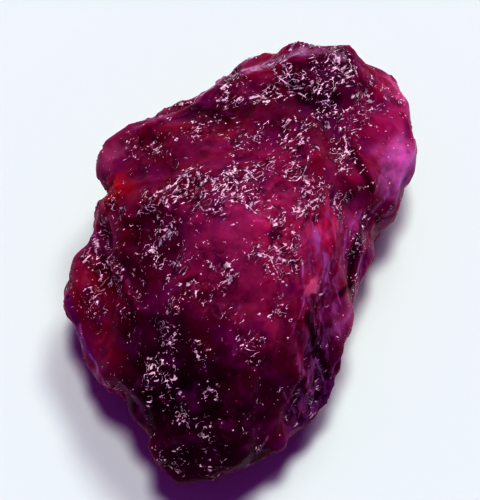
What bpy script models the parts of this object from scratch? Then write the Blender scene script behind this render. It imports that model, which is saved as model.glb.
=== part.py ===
"""A rough, uncut crystal of red beryl, lying on its broad, flat underside.

The stone is one solid. It is built the way a lump of gem rough is shaped: a body with a lower
flange on its left, a lobe on its right and a knob at the back, each a block of the stone's plan
that fracture faces have cut. The blocks are joined, and the skin over them is then worked: the
crest and its ledges stand out, flutes and a notch are worn in, clusters of pits are etched, and
shallow scallops with sharp rims cover the rest. It is shaped in millimetres, because Blender's
merge distances suit large numbers better, and scaled to metres at the end.
"""

import math
import random

import bmesh
import bpy
from mathutils import Matrix, Vector, noise

MILLIMETRE = 0.001

# Driving dimensions, in millimetres.
GIRDLE_HEIGHT = 5.0
BASE_CUT = 0.5
SKIN_VOXEL = 0.36
TRIANGLE_BUDGET = 9600

# Each block's plan at the girdle, anticlockwise, and its fracture faces. A face has a point on
# it, the compass heading it looks along (anticlockwise from +X) and its tilt from level, both
# in degrees. A tilt over 90 looks down.
BLOCKS = {
    "body": {
        "plan": [
            (8.3, 0.7), (8.7, 3.0), (8.7, 6.0), (8.3, 9.0), (7.2, 11.2), (6.1, 12.1),
            (4.9, 12.6), (2.7, 12.6), (0.0, 11.8), (-1.7, 10.3), (-3.5, 9.1), (-5.1, 7.8),
            (-7.3, 7.3), (-8.1, 5.9), (-8.1, 4.5), (-7.7, 3.3), (-8.6, 2.2), (-8.5, 0.9),
            (-7.8, -0.4), (-7.6, -3.0), (-7.6, -6.0), (-7.2, -8.0), (-6.5, -9.0), (-5.6, -10.8),
            (-5.1, -12.5), (-3.5, -14.0), (-1.2, -13.8), (0.5, -12.7), (2.1, -11.9),
            (4.6, -10.2), (5.3, -8.6), (5.8, -6.2), (6.9, -3.6), (7.6, -1.4),
        ],
        "faces": {
            "crown": ((0.2, 0.5, 12.9), 250, 5),
            "back_slope": ((-1.5, 4.0, 11.6), 118, 22),
            "left_shoulder": ((-4.6, 3.4, 10.7), 160, 30),
            "back_bevel": ((-1.6, 9.2, 8.6), 119, 52),
            "knob_bevel": ((5.0, 11.0, 8.8), 84, 52),
            "lobe_side": ((7.2, 5.0, 9.6), 8, 40),
            "right_flank": ((3.9, -3.6, 10.2), 334, 54),
            "lower_flank": ((2.6, -9.4, 7.6), 318, 58),
            "front_slope": ((-0.6, -4.6, 11.6), 266, 17),
            "toe": ((-2.2, -11.8, 8.1), 262, 47),
            "left_slope": ((-5.0, -1.6, 10.6), 192, 34),
            "left_front": ((-4.8, -8.6, 8.4), 216, 42),
            "left_end": ((-7.0, 6.2, 8.6), 160, 52),
        },
    },
    "flange": {
        "plan": [
            (-5.0, 0.6), (-8.8, 0.7), (-9.6, -0.4), (-10.3, -1.7), (-10.3, -3.0),
            (-9.6, -4.8), (-9.1, -6.4), (-8.0, -8.0), (-6.2, -8.8), (-4.5, -6.0),
        ],
        "faces": {
            "flange_top": ((-8.6, -2.4, 7.2), 186, 18),
            "flange_rim": ((-9.9, -2.8, 6.4), 178, 48),
            "flange_front": ((-8.8, -7.0, 5.9), 208, 40),
        },
    },
    "lobe": {
        "plan": [
            (4.5, 2.2), (8.2, 0.8), (9.3, 2.4), (9.7, 4.4), (10.3, 6.2), (10.3, 7.8),
            (10.2, 9.3), (9.8, 10.7), (8.8, 11.8), (7.6, 12.3), (4.5, 9.0),
        ],
        "faces": {
            "lobe_top": ((8.4, 7.6, 8.8), 20, 17),
            "lobe_rim": ((10.0, 6.6, 7.4), 4, 50),
            "lobe_back": ((9.0, 10.8, 7.6), 56, 42),
            "lobe_front": ((8.8, 2.6, 7.2), 318, 50),
        },
    },
    "knob": {
        "plan": [
            (2.2, 7.4), (5.4, 6.9), (7.2, 8.2), (7.6, 10.2), (6.6, 11.7), (4.9, 12.2),
            (2.8, 11.5), (1.4, 10.0),
        ],
        "faces": {
            "knob_top": ((5.0, 9.4, 11.0), 300, 8),
            "knob_back": ((4.8, 11.2, 9.9), 88, 46),
            "knob_left": ((2.4, 9.6, 10.2), 170, 50),
            "knob_front": ((5.2, 7.7, 10.9), 262, 34),
            "knob_right": ((7.0, 9.8, 10.2), 14, 42),
        },
    },
}

# Every block's rings: height, and how wide the plan is there beside the girdle.
RINGS = [
    (-1.0, 0.80), (1.2, 0.89), (3.2, 0.96), (GIRDLE_HEIGHT, 1.0),
    (7.4, 0.97), (9.8, 0.92), (14.0, 0.84),
]

# The underside's fracture faces, which cut every block alike.
UNDERSIDE = {
    "under_right": ((8.6, 4.0, 2.6), 352, 128),
    "under_back": ((0.0, 10.9, 3.0), 108, 126),
    "under_left": ((-8.8, -2.0, 3.0), 184, 132),
    "under_left_front": ((-6.6, -8.8, 2.8), 216, 134),
    "under_front": ((-1.0, -11.9, 2.6), 268, 134),
    "under_flank": ((4.6, -7.2, 2.4), 330, 126),
}

# Swellings (rise over 0) and hollows (under 0): centre, radius and rise.
LUMPS = [
    ((-0.2, -2.0, 12.0), 4.6, 0.45),
    ((-2.0, 5.6, 11.0), 3.4, -0.40),
    ((5.8, 5.2, 10.0), 3.0, -0.45),
    ((-7.6, 4.4, 7.6), 2.6, 0.35),
    ((-3.6, -7.8, 9.0), 3.6, 0.35),
    ((0.4, -9.6, 8.8), 2.6, -0.30),
    ((-9.4, -3.4, 6.4), 2.0, 0.30),
    ((9.6, 4.8, 6.6), 2.2, 0.30),
]

# Ridges (rise over 0) and grooves (under 0): the line's points, half width and rise.
LINES = [
    # The crest, from the left shoulder over the crown to the top of the flank.
    ([(-6.2, 0.9, 9.6), (-4.6, 1.5, 10.6), (-2.6, 2.3, 11.6), (-0.3, 2.0, 12.2),
      (1.4, 0.8, 12.0), (3.0, -0.4, 11.4)], 1.3, 0.55),
    # The crest's branch that climbs to the knob.
    ([(1.4, 0.8, 12.0), (2.6, 3.4, 11.4), (3.6, 6.2, 10.9), (5.2, 8.6, 10.6)], 1.1, 0.40),
    # The edge between the top and the right flank.
    ([(5.6, 1.2, 9.8), (4.4, -1.6, 10.6), (3.5, -4.2, 10.1), (2.9, -7.6, 8.8),
      (2.6, -10.6, 7.2)], 0.9, 0.40),
    # The notch between the lobe and the flank.
    ([(5.6, 1.4, 10.4), (7.6, 1.2, 8.2), (9.4, 1.0, 5.0), (9.0, 0.8, 2.0)], 1.7, -0.80),
    # Flutes down the right flank, with a rib between each two.
    ([(4.7, -3.9, 8.6), (4.8, -6.6, 6.9), (4.6, -9.6, 4.6)], 0.9, -0.75),
    ([(5.6, -2.0, 8.6), (5.7, -4.4, 6.8), (5.7, -7.0, 4.6)], 0.7, 0.40),
    ([(6.4, -0.8, 8.2), (6.6, -3.2, 6.4), (6.6, -5.4, 4.4)], 0.8, -0.50),
    ([(3.5, -8.6, 7.4), (3.2, -11.0, 5.4)], 0.7, -0.40),
    # The re-entrant corner between the left end and the flange.
    ([(-6.2, 1.4, 9.4), (-7.9, 0.4, 7.6), (-9.0, 0.2, 4.6)], 0.9, -0.50),
    ([(-7.0, 3.0, 8.6), (-8.2, 3.3, 6.4), (-8.3, 3.3, 4.2)], 0.9, -0.40),
    # Ledges on the back slope and on the knob.
    ([(-6.6, 5.4, 8.9), (-3.4, 7.0, 9.6), (0.6, 8.8, 9.4)], 0.8, 0.35),
    ([(3.0, 7.4, 10.6), (6.4, 7.2, 10.2)], 0.7, -0.40),
    ([(3.4, 10.6, 9.9), (6.6, 10.6, 9.6)], 0.6, 0.30),
]

# Clusters of etched pits: the middle of each and how far it spreads.
PIT_CLUSTERS = [
    ((-2.2, 1.2, 12.0), 1.8), ((-5.0, -2.0, 10.6), 1.6), ((2.4, -2.8, 11.4), 1.4),
    ((-1.2, -4.6, 11.4), 1.3), ((-4.4, -6.6, 9.0), 1.8), ((-4.0, -9.8, 8.0), 1.8),
    ((-1.4, -8.4, 9.4), 1.6), ((-2.8, -12.2, 7.2), 1.5), ((1.2, -8.8, 9.2), 1.4),
    ((-7.8, -2.6, 6.9), 1.5), ((-9.0, -4.4, 6.2), 1.3), ((4.4, 4.2, 10.8), 1.8),
    ((4.2, 0.6, 10.8), 1.3), ((-0.8, 7.2, 10.0), 1.6), ((2.6, 8.4, 10.2), 1.4),
    ((5.6, 9.4, 10.6), 1.6), ((-5.6, 4.6, 9.6), 1.6), ((8.6, 9.4, 8.6), 1.3),
    ((3.8, -9.4, 6.0), 1.6), ((5.6, -5.6, 6.4), 1.3),
]
PITS_IN_CLUSTER = 6
PIT_RADIUS = 0.85
PIT_DEPTH = 0.42
PIT_SEED = 5

# The scallops that cover the skin, coarse and fine: width across and depth.
SCALLOPS = [(3.4, 0.66), (1.7, 0.30)]
SCALLOP_WARP = 0.7
WARP_SEED = 45
RIM_STEEPNESS = 1.6
MEAN_SCALLOP = 0.4
SWELL_WIDTH = 5.0
SWELL_RISE = 0.28

# The smooth dome in front of the crest, where the scallops fade out.
DOME_CENTRE = (0.0, -2.2, 12.2)
DOME_RADIUS = 3.6
DOME_SMOOTHNESS = 0.85

# The sides are fresher breaks than the top: below this height they are the smoother by a share.
WORN_HEIGHT = 8.0
SIDE_SMOOTHNESS = 0.45

# The cube that the fracture faces cut, far larger than the stone.
CUTTER_SIZE = 60.0


def facing(heading, tilt):
    """The outward normal of a face that looks along a compass heading, tipped over by tilt."""
    across = math.sin(math.radians(tilt))
    return Vector((
        across * math.cos(math.radians(heading)),
        across * math.sin(math.radians(heading)),
        math.cos(math.radians(tilt)),
    ))


def object_of(name, bm):
    """A new object in the scene that holds this bmesh, which is freed."""
    bmesh.ops.recalc_face_normals(bm, faces=bm.faces)
    mesh = bpy.data.meshes.new(name)
    bm.to_mesh(mesh)
    bm.free()
    made = bpy.data.objects.new(name, mesh)
    bpy.context.scene.collection.objects.link(made)
    return made


def apply_modifiers(obj):
    """Replaces the object's mesh by the one its modifiers make."""
    graph = bpy.context.evaluated_depsgraph_get()
    mesh = bpy.data.meshes.new_from_object(obj.evaluated_get(graph))
    obj.modifiers.clear()
    obj.data = mesh


def cut_away(bm, place, normal):
    """Cuts off all that lies beyond a plane, and closes the cut."""
    cut = bmesh.ops.bisect_plane(
        bm,
        geom=[*bm.verts, *bm.edges, *bm.faces],
        plane_co=place,
        plane_no=normal,
        clear_outer=True,
    )
    rim = [part for part in cut["geom_cut"] if isinstance(part, bmesh.types.BMEdge)]
    bmesh.ops.edgenet_fill(bm, edges=rim)


def plan_block(name, plan):
    """A plan, raised through the rings into a closed block with bulging sides."""
    bm = bmesh.new()
    middle = sum((Vector((x, y, 0)) for x, y in plan), Vector()) / len(plan)
    loops = []
    for height, share in RINGS:
        ring = [bm.verts.new((Vector((x, y, 0)) - middle) * share + middle) for x, y in plan]
        bmesh.ops.translate(bm, verts=ring, vec=(0, 0, height))
        loops.append([bm.edges.new(pair) for pair in zip(ring, ring[1:] + ring[:1])])
    for low, high in zip(loops, loops[1:]):
        bmesh.ops.bridge_loops(bm, edges=low + high)
    bmesh.ops.holes_fill(bm, edges=loops[0] + loops[-1], sides=len(plan))
    return object_of(name, bm)


def fracture_block(name, faces):
    """A large cube that each fracture face cuts in turn."""
    bm = bmesh.new()
    bmesh.ops.create_cube(bm, size=CUTTER_SIZE)
    for place, heading, tilt in (faces | UNDERSIDE).values():
        cut_away(bm, place, facing(heading, tilt))
    return object_of(name, bm)


def combine(target, other, operation):
    """Joins the other object to the target, or keeps what they share, and removes the other."""
    step = target.modifiers.new(operation.lower(), "BOOLEAN")
    step.operation = operation
    step.object = other
    apply_modifiers(target)
    bpy.data.objects.remove(other)


def falloff(distance, radius):
    """1 at the middle, 0 from the radius on, with a smooth shoulder."""
    share = min(1.0, distance / radius)
    return (1 - share * share) ** 2


def to_segment(place, start, end):
    """How far a place is from the segment between two points."""
    along = end - start
    share = max(0.0, min(1.0, (place - start).dot(along) / along.length_squared))
    return (place - start - along * share).length


def to_line(place, points):
    """How far a place is from a line of several segments."""
    corners = [Vector(point) for point in points]
    return min(to_segment(place, *pair) for pair in zip(corners, corners[1:]))


def etched_pits():
    """The middle of every pit, scattered about the clusters in the same way each time."""
    chance = random.Random(PIT_SEED)
    pits = []
    for centre, spread in PIT_CLUSTERS:
        for _ in range(PITS_IN_CLUSTER):
            step = Vector([chance.uniform(-spread, spread) for _ in range(3)])
            pits.append(Vector(centre) + step)
    return pits


def scallops(place, width):
    """Shallow bowls with sharp rims: 0 at the middle of each, about 1 at its rim."""
    bent = place / width + SCALLOP_WARP * noise.noise_vector(place / (2 * width))
    nearest = noise.voronoi(bent)[0][0]
    return min(1.0, RIM_STEEPNESS * nearest * nearest)


def relief(place, pits):
    """How far the skin stands out at a place, in millimetres."""
    height = SWELL_RISE * noise.fractal(place / SWELL_WIDTH, 0.9, 2.1, 3)
    for centre, radius, rise in LUMPS:
        height += rise * falloff((place - Vector(centre)).length, radius)
    for points, width, rise in LINES:
        height += rise * falloff(to_line(place, points), width)
    depths = [falloff((place - pit).length, PIT_RADIUS) for pit in pits]
    height -= PIT_DEPTH * max(depths)
    rough = 1 - DOME_SMOOTHNESS * falloff((place - Vector(DOME_CENTRE)).length, DOME_RADIUS)
    rough *= 1 - SIDE_SMOOTHNESS * min(1.0, max(0.0, 1 - place.z / WORN_HEIGHT) * 2)
    for width, depth in SCALLOPS:
        height += rough * depth * (scallops(place, width) - MEAN_SCALLOP)
    return height


def work_skin(obj):
    """Moves every vertex along its normal by the relief."""
    bm = bmesh.new()
    bm.from_mesh(obj.data)
    bm.normal_update()
    pits = etched_pits()
    moved = [vert.co + vert.normal * relief(vert.co, pits) for vert in bm.verts]
    for vert, place in zip(bm.verts, moved):
        vert.co = place
    bm.to_mesh(obj.data)
    bm.free()


def flatten_base(obj):
    """Cuts the underside flat, so that the stone lies still."""
    bm = bmesh.new()
    bm.from_mesh(obj.data)
    cut_away(bm, (0, 0, BASE_CUT), (0, 0, -1))
    bmesh.ops.recalc_face_normals(bm, faces=bm.faces)
    bm.to_mesh(obj.data)
    bm.free()


def put_on_origin(obj):
    """Brings the middle of the stone's box over the origin and its underside to height 0."""
    corners = [Vector(corner) for corner in obj.bound_box]
    low = Vector(map(min, *corners))
    high = Vector(map(max, *corners))
    middle = (low + high) / 2
    obj.data.transform(Matrix.Translation((-middle.x, -middle.y, -low.z)))


def crystal():
    """The whole stone, in millimetres until its last step."""
    stone = None
    for name, block in BLOCKS.items():
        made = plan_block(name, block["plan"])
        combine(made, fracture_block(name + "_faces", block["faces"]), "INTERSECT")
        if stone:
            combine(stone, made, "UNION")
        else:
            stone = made
    stone.name = "crystal"
    skin = stone.modifiers.new("skin", "REMESH")
    skin.mode = "VOXEL"
    skin.voxel_size = SKIN_VOXEL
    apply_modifiers(stone)
    work_skin(stone)
    thin = stone.modifiers.new("thin", "DECIMATE")
    thin.ratio = TRIANGLE_BUDGET / (2 * len(stone.data.polygons))
    apply_modifiers(stone)
    flatten_base(stone)
    put_on_origin(stone)
    stone.data.transform(Matrix.Scale(MILLIMETRE, 4))
    return stone


def gem_material():
    """The stone's dark crimson, with a wet gloss."""
    made = bpy.data.materials.new("red_beryl")
    made.use_nodes = True
    shader = made.node_tree.nodes["Principled BSDF"]
    shader.inputs["Base Color"].default_value = (0.30, 0.012, 0.085, 1)
    shader.inputs["Roughness"].default_value = 0.12
    shader.inputs["IOR"].default_value = 1.57
    return made


def main():
    for old in list(bpy.data.objects):
        bpy.data.objects.remove(old)
    noise.seed_set(WARP_SEED)
    stone = crystal()
    stone.data.materials.clear()
    stone.data.materials.append(gem_material())


main()
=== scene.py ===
# %% [markdown]
# # A rough crystal of red beryl
#
# The object is one loose lump of gem rough: dark crimson where it is thick, magenta where light
# comes through, wet-looking, and etched all over its top into pits and little ledges that flash.
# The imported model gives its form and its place. These cells give it a finely worked skin, a
# see-through material, and a plain studio around it.

# %% Load the frame
import math

import bmesh
import bpy
import numpy as np
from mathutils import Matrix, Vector, noise
from mathutils.bvhtree import BVHTree


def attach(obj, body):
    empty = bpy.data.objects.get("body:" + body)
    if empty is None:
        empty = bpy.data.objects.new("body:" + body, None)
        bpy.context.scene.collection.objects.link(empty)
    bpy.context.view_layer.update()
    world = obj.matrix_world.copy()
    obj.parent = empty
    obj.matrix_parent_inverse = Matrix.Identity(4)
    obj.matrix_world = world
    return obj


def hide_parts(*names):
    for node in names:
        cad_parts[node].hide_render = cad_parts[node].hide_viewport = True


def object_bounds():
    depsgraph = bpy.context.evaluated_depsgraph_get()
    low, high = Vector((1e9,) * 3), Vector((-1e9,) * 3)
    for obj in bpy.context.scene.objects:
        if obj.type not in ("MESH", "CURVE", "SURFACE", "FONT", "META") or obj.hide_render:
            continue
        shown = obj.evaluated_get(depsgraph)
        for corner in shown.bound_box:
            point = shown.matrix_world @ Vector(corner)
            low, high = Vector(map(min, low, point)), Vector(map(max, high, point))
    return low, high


MILLIMETRE = 0.001

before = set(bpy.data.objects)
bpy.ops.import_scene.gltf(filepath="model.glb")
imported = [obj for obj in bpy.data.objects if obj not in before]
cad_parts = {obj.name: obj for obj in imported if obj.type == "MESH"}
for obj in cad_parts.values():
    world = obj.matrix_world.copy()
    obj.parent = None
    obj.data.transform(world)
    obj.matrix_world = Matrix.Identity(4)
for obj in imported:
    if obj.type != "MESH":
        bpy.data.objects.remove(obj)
cad_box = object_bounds()
rough_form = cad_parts["crystal"]
print("the rough form has", len(rough_form.data.polygons), "faces")

# %% [markdown]
# ## The camera
#
# The stone lies on a table, seen steeply from above through a long lens, so its outline hardly
# narrows with height. The camera comes first, because the later cells say where a pit or a ledge
# goes by the column and row at which the camera sees it, which is how a carver would point at it.

# %% Set up the camera
FRAME_WIDTH = 480
FRAME_HEIGHT = 500
CAMERA_ELEVATION = math.radians(70)
CAMERA_DISTANCE = 0.110
CAMERA_LENS = 132
AIM = Vector((-0.00011, 0.00087, 0.00463))

camera_data = bpy.data.cameras.new("studio_camera")
camera_data.lens = CAMERA_LENS
camera_data.clip_start = 0.001
camera_data.clip_end = 20
camera = bpy.data.objects.new("studio_camera", camera_data)
bpy.context.scene.collection.objects.link(camera)
towards_camera = Vector((0, -math.cos(CAMERA_ELEVATION), math.sin(CAMERA_ELEVATION)))
camera.location = AIM + CAMERA_DISTANCE * towards_camera
camera.rotation_euler = towards_camera.to_track_quat("Z", "Y").to_euler()
bpy.context.scene.camera = camera
print("the camera stands at", [round(c, 4) for c in camera.location])

# %% [markdown]
# ## A skin fine enough to carve
#
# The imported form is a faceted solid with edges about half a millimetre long, too coarse for
# etching. A copy of it is merged into one closed surface and remeshed into small even squares,
# as a sculptor would do before turning to fine tools. Smoothing then takes off the steps that
# the remesh leaves, but not the flats of the fracture faces.

# %% Make the fine skin
SKIN_VOXEL = 0.138
SMOOTH_ROUNDS = 20


def merged_copy(source):
    """A bmesh of the source's mesh in millimetres, its loose triangles merged."""
    bm = bmesh.new()
    bm.from_mesh(source.data)
    bmesh.ops.scale(bm, vec=Vector.Fill(3, 1 / MILLIMETRE), verts=bm.verts)
    bmesh.ops.remove_doubles(bm, verts=bm.verts, dist=0.001)
    return bm


def remeshed(bm, voxel):
    """The closed surface rebuilt from even squares of this width."""
    mesh = bpy.data.meshes.new("skin")
    bm.to_mesh(mesh)
    bm.free()
    form = bpy.data.objects.new("skin", mesh)
    bpy.context.scene.collection.objects.link(form)
    remesh = form.modifiers.new("even squares", "REMESH")
    remesh.mode = "VOXEL"
    remesh.voxel_size = voxel
    graph = bpy.context.evaluated_depsgraph_get()
    fine = bmesh.new()
    fine.from_mesh(form.evaluated_get(graph).to_mesh())
    bpy.data.objects.remove(form)
    bpy.data.meshes.remove(mesh)
    return fine


skin = remeshed(merged_copy(rough_form), SKIN_VOXEL)
for _ in range(SMOOTH_ROUNDS):
    bmesh.ops.smooth_vert(skin, verts=skin.verts, factor=0.5,
                          use_axis_x=True, use_axis_y=True, use_axis_z=True)
skin.normal_update()
print("the skin has", len(skin.faces), "squares")

# %% [markdown]
# ## Pointing at the stone
#
# A ray from the camera through a column and row of its frame meets the stone at the place that
# is seen there. Every feature below is put on the stone in this way, so it sits on the surface,
# whatever the surface does.

# %% Find places on the stone
stone_tree = BVHTree.FromBMesh(skin)
focal_length = CAMERA_LENS / camera_data.sensor_width * FRAME_HEIGHT
view_turn = towards_camera.to_track_quat("Z", "Y").to_matrix()


def seen_at(column, row):
    """The place on the stone that the camera sees there, or nearly sees, in millimetres."""
    ray = view_turn @ Vector((column - FRAME_WIDTH / 2, FRAME_HEIGHT / 2 - row, -focal_length))
    eye = camera.location / MILLIMETRE
    place = stone_tree.ray_cast(eye, ray)[0]
    if place is None:
        place = stone_tree.find_nearest(eye + ray.normalized() * CAMERA_DISTANCE / MILLIMETRE)[0]
    return place


places = np.array([vert.co for vert in skin.verts])
print("the crest is at", [round(c, 1) for c in seen_at(235, 180)])


def falloff(distances, radius):
    """1 at distance 0, 0 from the radius on, with a smooth shoulder."""
    share = np.clip(distances / radius, 0, 1)
    return (1 - share ** 2) ** 2


def spot(column, row, radius):
    """For each point of the skin, how near it is to the place seen there."""
    return falloff(np.linalg.norm(places - np.array(seen_at(column, row)), axis=1), radius)


def along(points):
    """How far each point of the skin is from a line over the stone, and how far to its side."""
    corners = [np.array(seen_at(*point)) for point in points]
    distance = np.full(len(places), np.inf)
    offset = np.zeros_like(places)
    side = np.zeros(len(places))
    for start, end in zip(corners, corners[1:]):
        run = end - start
        share = np.clip((places - start) @ run / (run @ run), 0, 1)
        gap = places - start - share[:, None] * run
        length = np.linalg.norm(gap, axis=1)
        across = np.cross(run, np.array(towards_camera))
        closer = length < distance
        distance[closer] = length[closer]
        offset[closer] = gap[closer]
        side[closer] = (gap @ across / np.linalg.norm(across))[closer]
    return distance, offset, side


# %% [markdown]
# ## Where the stone is etched
#
# Growth and wear have etched the skin in patches a millimetre or two across. In a patch it is
# rippled and glitters, and between the patches it is smooth and shows the colour inside. Each
# patch is a place, a radius and a strength. A noise cut at a level adds small patches everywhere,
# so that the sides and the back are worked too, and the smooth dome below the crest is kept clean.
# The steep sides near the floor are fresher breaks, so they are less etched than the top.

# %% Map the etching
# Column, row, radius in millimetres, strength.
ETCHED_PATCHES = [
    (346, 68, 1.4, 1.0), (322, 86, 1.4, 1.0), (298, 82, 1.2, 1.0), (356, 92, 1.0, 0.9),
    (322, 62, 1.2, 0.8), (262, 98, 1.3, 0.9), (230, 105, 0.9, 0.6), (197, 130, 1.0, 0.9),
    (215, 115, 0.8, 0.6), (135, 145, 1.3, 0.6), (160, 147, 1.2, 0.8), (112, 197, 1.1, 0.8),
    (120, 215, 1.0, 0.7), (245, 140, 1.6, 0.6), (230, 152, 0.8, 0.5), (300, 145, 1.3, 0.9),
    (292, 170, 1.1, 0.9), (310, 125, 1.0, 0.7), (262, 165, 1.2, 0.8), (345, 125, 1.6, 0.8),
    (365, 100, 1.3, 0.8), (370, 80, 1.0, 0.7), (385, 92, 0.9, 0.6), (340, 155, 1.6, 0.9),
    (312, 190, 1.3, 0.9), (305, 207, 1.0, 0.9), (340, 208, 1.2, 0.9), (150, 205, 1.2, 0.9),
    (170, 192, 1.3, 1.0), (190, 180, 1.4, 1.0), (210, 200, 1.5, 1.0), (232, 185, 1.7, 1.0),
    (248, 175, 1.2, 1.0), (255, 200, 1.2, 0.9), (275, 215, 1.0, 0.8), (287, 238, 1.1, 0.9),
    (283, 258, 1.5, 1.0), (262, 252, 1.0, 0.7), (163, 235, 1.3, 1.0), (150, 255, 1.3, 0.9),
    (178, 262, 0.8, 0.8), (206, 248, 0.7, 0.6), (220, 275, 1.3, 1.0), (205, 298, 0.8, 0.6),
    (165, 282, 0.9, 0.5), (110, 270, 1.6, 1.0), (92, 258, 1.0, 0.8), (97, 305, 1.3, 1.0),
    (135, 300, 1.0, 0.6), (162, 330, 1.3, 0.8), (160, 373, 1.5, 1.0), (175, 398, 1.0, 0.8),
    (182, 413, 1.1, 0.9), (203, 428, 1.1, 0.9), (200, 352, 1.0, 0.6), (213, 392, 0.8, 0.8),
    (250, 345, 1.0, 0.7), (252, 362, 0.8, 0.6), (281, 305, 0.9, 0.8), (245, 420, 1.1, 0.5),
    (215, 460, 1.2, 0.5), (185, 452, 1.0, 0.5), (310, 400, 1.0, 0.6), (320, 375, 0.9, 0.6),
    (366, 118, 0.9, 0.8), (350, 118, 1.0, 0.7), (355, 137, 0.9, 0.6), (385, 112, 0.7, 0.6),
    (240, 320, 0.7, 0.4), (225, 310, 0.6, 0.4), (300, 225, 0.7, 0.5), (195, 225, 0.6, 0.4),
]
# Column, row, radius in millimetres, and the share of the etching that is left out.
SMOOTH_PATCHES = [
    (238, 238, 3.2, 0.9), (250, 305, 2.4, 0.8), (145, 170, 1.8, 0.8), (400, 160, 2.6, 0.9),
    (375, 140, 1.2, 0.4), (215, 160, 1.4, 0.7), (330, 255, 2.0, 0.9), (120, 240, 1.2, 0.6),
    (105, 175, 1.6, 0.7), (312, 290, 1.4, 0.9), (290, 195, 0.9, 0.7), (110, 345, 2.4, 0.8),
    (215, 325, 1.8, 0.7), (190, 380, 1.4, 0.7), (230, 380, 1.8, 0.6), (275, 400, 1.8, 0.7),
    (150, 430, 1.6, 0.7), (240, 450, 1.6, 0.7), (180, 340, 1.2, 0.6), (325, 325, 2.0, 0.9),
    (318, 362, 1.4, 0.7), (345, 290, 1.6, 0.8),
]
PATCH_WIDTH = 1.5
PATCH_LEVELS = (0.16, 0.38)
SCATTERED_ETCH = 0.85
LEAST_ETCH = 0.06
RAGGEDNESS = 0.9
# How far past its radius a patch reaches, and the levels between which its edge fades.
ETCHED_REACH = 1.4
ETCHED_FADE = (0.02, 0.95)
SMOOTH_REACH = 1.25
SMOOTH_FADE = (0.05, 0.35)
# Fresh breaks: between which heights in millimetres and which upward slopes they fade out, and
# the share of the etching that they lack.
FRESH_HEIGHTS = (3.6, 7.0)
FRESH_SLOPES = (-0.1, 0.4)
FRESH_SHARE = 0.6


def smooth_step(values, low, high):
    """0 below low, 1 above high, smooth between."""
    share = np.clip((values - low) / (high - low), 0, 1)
    return share * share * (3 - 2 * share)


vectors = [vert.co.copy() for vert in skin.verts]
patchy = np.array([noise.fractal(p / PATCH_WIDTH, 0.7, 2.2, 3) for p in vectors])
etch = SCATTERED_ETCH * smooth_step(patchy, *PATCH_LEVELS)
ragged = 1 + RAGGEDNESS * patchy
for column, row, radius, share in SMOOTH_PATCHES:
    patch = smooth_step(spot(column, row, radius * SMOOTH_REACH) * ragged, *SMOOTH_FADE)
    etch *= 1 - share * patch
for column, row, radius, strength in ETCHED_PATCHES:
    patch = smooth_step(spot(column, row, radius * ETCHED_REACH) * ragged, *ETCHED_FADE)
    etch = np.maximum(etch, strength * patch)
upward = np.array([vert.normal.z for vert in skin.verts])
steep_share = 1 - smooth_step(upward, *FRESH_SLOPES)
low_share = 1 - smooth_step(places[:, 2], *FRESH_HEIGHTS)
etch *= 1 - FRESH_SHARE * steep_share * low_share
etch = LEAST_ETCH + (1 - LEAST_ETCH) * np.clip(etch, 0, 1)
print("etched share of the skin:", round(float((etch > 0.5).mean()), 2))

# %% [markdown]
# ## Carving the skin
#
# Broken and etched beryl is made of chips: small hollow facets, each tilted its own way, that
# meet in sharp ridges. A facet flashes when it happens to face a lamp, and its neighbours stay
# dark, which is what makes the stone sparkle. Each chip here is a cell of a scatter of points.
# Every cell has its own tilted bowl, and a point of the skin takes the lowest of the four bowls
# around it, so neighbours meet in a crease and never in a cliff. Three sizes of chip are laid
# over each other, and the finest keep to the etched patches.

# %% Carve the chips
# Width across in millimetres, tilt, hollow, and how far the chips keep to the etched patches.
CHIPS = [(2.4, 0.09, 0.08, 0.1), (1.1, 0.18, 0.16, 0.6), (0.5, 0.32, 0.26, 0.95)]
BEND = 0.45
BEND_WIDTH = 1.7
BEND_SEED = 11
NEIGHBOURS = 4
noise.seed_set(BEND_SEED)


def own_directions(cells, seed):
    """A random direction for each cell, the same each time it is asked for."""
    folds = np.array([[12.99, 78.23, 37.72], [39.35, 11.14, 83.16], [73.16, 52.24, 9.15]])
    return (np.sin(cells @ folds.T + seed) * 4375.85) % 1 * 2 - 1


def chips(width, tilt, hollow):
    """The height of a skin of chips this wide, in millimetres, about zero."""
    spots = [p / width + BEND * noise.noise_vector(p / (BEND_WIDTH * width)) for p in vectors]
    found = [noise.voronoi(p) for p in spots]
    gaps = np.array([f[0][:NEIGHBOURS] for f in found])
    cells = np.array([[tuple(c) for c in f[1][:NEIGHBOURS]] for f in found])
    reach = np.array(spots)[:, None, :] - cells
    lean = (own_directions(cells, width) * reach).sum(axis=2)
    bowls = (hollow * gaps ** 2 + tilt * lean).min(axis=1)
    return (bowls - bowls.mean()) * width


relief = np.zeros(len(places))
for width, tilt, hollow, keeps in CHIPS:
    relief += chips(width, tilt, hollow) * (1 - keeps + keeps * etch)
print("chips from", round(float(relief.min()), 2), "to", round(float(relief.max()), 2), "mm")

# %% [markdown]
# ## Ledges
#
# Some breaks are long enough to be seen as lines: terraces on the crest and the knob, and the edge
# of the flange. A ledge rises steeply on one side of its line and dies away on the other, as a
# broken layer does.

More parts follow.
